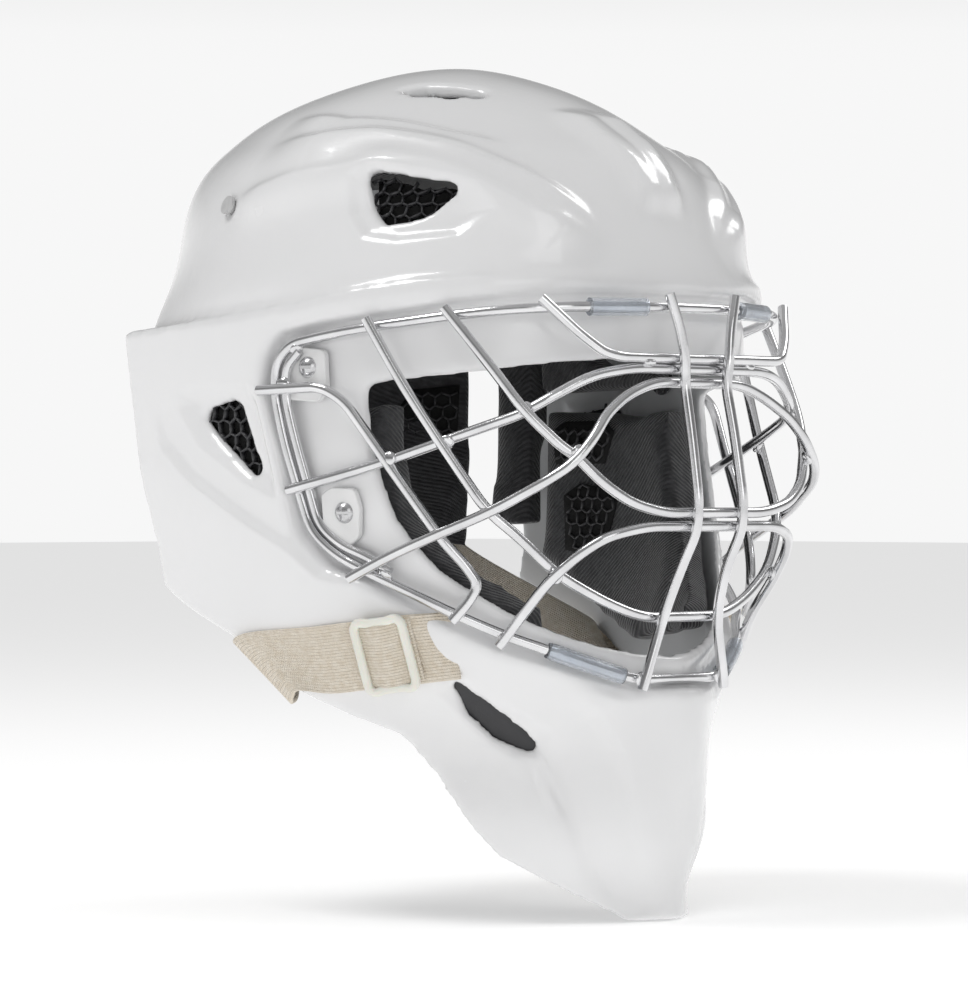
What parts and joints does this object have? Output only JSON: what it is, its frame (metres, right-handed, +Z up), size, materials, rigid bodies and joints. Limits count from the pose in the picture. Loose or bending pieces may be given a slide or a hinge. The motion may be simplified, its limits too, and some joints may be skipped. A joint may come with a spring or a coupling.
{
  "type": "goalie mask",
  "caption": "Ice hockey goalie mask: moulded white shell with a long pointed chin, welded wire cage, padding, backplate and elastic harness.",
  "frame": {"origin": "middle of the wearer's head at eye level", "axes": "+Z up, the face looks along -Y, the wearer's right side is -X"},
  "size_m": [0.226, 0.2543, 0.328],
  "materials": {
    "shell": "gloss white painted composite",
    "cage_steel": "polished stainless wire",
    "sleeve": "clear blue-grey soft tube",
    "clip": "white moulded",
    "fastener": "plated steel",
    "pad_fabric": "black knitted fabric over foam",
    "grille": "black honeycomb lattice",
    "chin_cup_plastic": "matt black",
    "backplate_plastic": "matt black",
    "elastic": "beige ribbed elastic",
    "black_webbing": "black webbing",
    "buckle": "off-white moulded"
  },
  "bodies": {
    "mask": {"shell": "shell", "cage_frame": "cage_steel", "cage_inner_rail_right": "cage_steel", "cage_inner_rail_left": "cage_steel", "cage_bar_a_right": "cage_steel", "cage_bar_a_left": "cage_steel", "cage_bar_b": "cage_steel", "cage_bar_c": "cage_steel", "cage_bar_d": "cage_steel", "cage_bar_e": "cage_steel", "cage_bar_f": "cage_steel", "cage_bar_g": "cage_steel", "cage_vertical_right": "cage_steel", "cage_vertical_left": "cage_steel", "cage_sleeves_top": "sleeve", "cage_sleeves_bottom": "sleeve", "cage_clips_upper": "clip", "cage_clips_lower": "clip", "cage_screws": "fastener", "tee_nuts": "fastener", "upper_strap_rivets": "fastener", "chin_strap_snaps": "fastener", "forehead_pad": "pad_fabric", "brow_pad": "pad_fabric", "crown_pad": "pad_fabric", "temple_pad_right": "pad_fabric", "temple_pad_left": "pad_fabric", "ear_pad_right": "pad_fabric", "ear_pad_left": "pad_fabric", "jaw_pad_right": "pad_fabric", "jaw_pad_left": "pad_fabric", "chin_pad": "pad_fabric", "ear_vent_grilles": "grille", "temple_vent_grilles": "grille", "jaw_vent_grilles": "grille", "upper_strap_right": "elastic", "upper_strap_left": "elastic", "lower_strap_right": "elastic", "lower_strap_left": "elastic", "chin_strap_right": "black_webbing", "chin_strap_left": "black_webbing"},
    "backplate": {"backplate": "backplate_plastic", "backplate_pad": "pad_fabric", "backplate_rivets": "fastener"},
    "right_buckle": {"tri_glide_right": "buckle"},
    "left_buckle": {"tri_glide_left": "buckle"},
    "chin_cup": {"chin_cup": "chin_cup_plastic", "chin_cup_liner": "pad_fabric"}
  },
  "joints": [
    {"name": "backplate_tilt", "type": "hinge", "parent": "mask", "child": "backplate", "pos_m": [0, 0.095, 0.078], "axis": [1, 0, 0], "range_deg": [0, 35], "stiffness_Nm_per_rad": 1, "deforming": ["upper_strap_right", "upper_strap_left", "lower_strap_right", "lower_strap_left"]},
    {"name": "right_buckle_slide", "type": "slide", "parent": "mask", "child": "right_buckle", "axis": [0.3608, -0.922, 0.1403], "range_m": [-0.008, 0.008]},
    {"name": "left_buckle_slide", "type": "slide", "parent": "mask", "child": "left_buckle", "axis": [-0.3608, -0.922, 0.1403], "range_m": [-0.008, 0.008]},
    {"name": "chin_cup_adjust", "type": "slide", "parent": "mask", "child": "chin_cup", "axis": [0, 1, 0], "range_m": [-0.004, 0.008], "deforming": ["chin_strap_right", "chin_strap_left"]}
  ]
}
